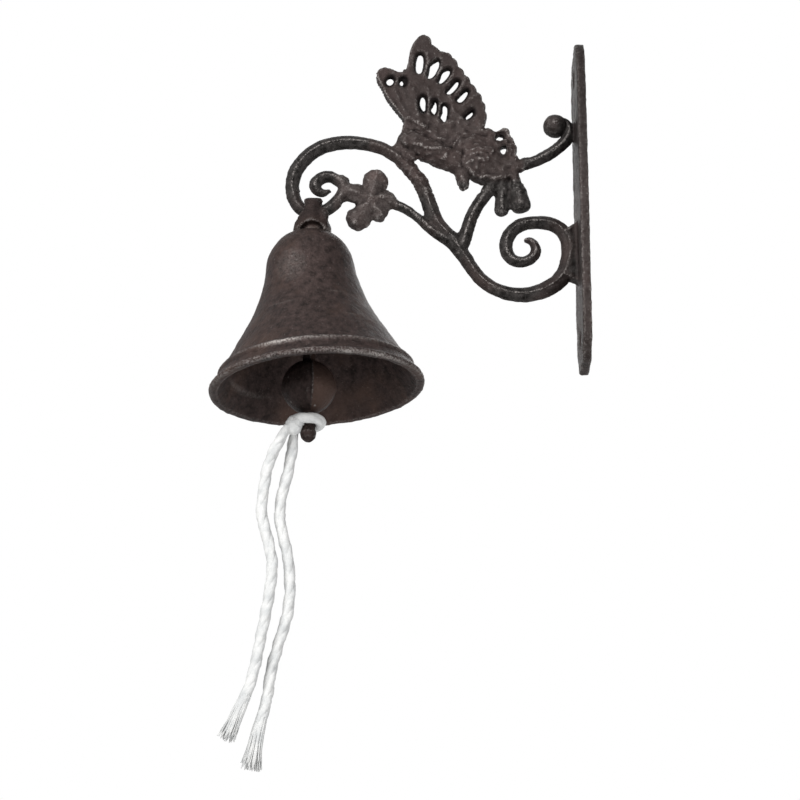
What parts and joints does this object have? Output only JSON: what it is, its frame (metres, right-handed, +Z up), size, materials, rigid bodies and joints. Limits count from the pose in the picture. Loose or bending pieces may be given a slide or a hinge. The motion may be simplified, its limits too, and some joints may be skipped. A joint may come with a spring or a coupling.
{
  "type": "hand-rung doorbell",
  "caption": "Cast-iron hand bell hung from a scrolled wall bracket with a pierced butterfly, rung by a knotted cotton rope on its clapper.",
  "frame": {"origin": "centre of the wall plate's flat back face", "axes": "+X into the wall, +Z up, the arm reaches out along -X and the bracket's middle plane is Y = 0"},
  "size_m": [0.1839, 0.1044, 0.3762],
  "materials": {
    "bracket_iron": "rough cast, aged dark brown",
    "bell_iron": "rough cast, aged dark brown with rust tint",
    "clapper_iron": "rough cast, aged dark brown",
    "ring_wire": "dull wire",
    "cotton_rope": "soft twisted cotton"
  },
  "bodies": {
    "bracket": {"wall_bracket": "bracket_iron"},
    "bell": {"bell": "bell_iron"},
    "ring": {"clapper_ring": "ring_wire"},
    "clapper": {"clapper": "clapper_iron", "rope_loop": "cotton_rope", "rope_tail_left": "cotton_rope", "rope_tail_right": "cotton_rope"}
  },
  "joints": [
    {"name": "bell_swing", "type": "hinge", "parent": "bracket", "child": "bell", "pos_m": [-0.134, 0, -0.0032], "axis": [1, 0, 0], "range_deg": [-45, 45]},
    {"name": "clapper_stroke", "type": "hinge", "parent": "bell", "child": "ring", "pos_m": [-0.1357, 0, -0.0266], "axis": [0, 1, 0], "range_deg": [-24.5, 18.5]},
    {"name": "clapper_sway", "type": "hinge", "parent": "ring", "child": "clapper", "pos_m": [-0.1357, 0, -0.0391], "axis": [1, 0, 0], "range_deg": [-10, 10]}
  ]
}
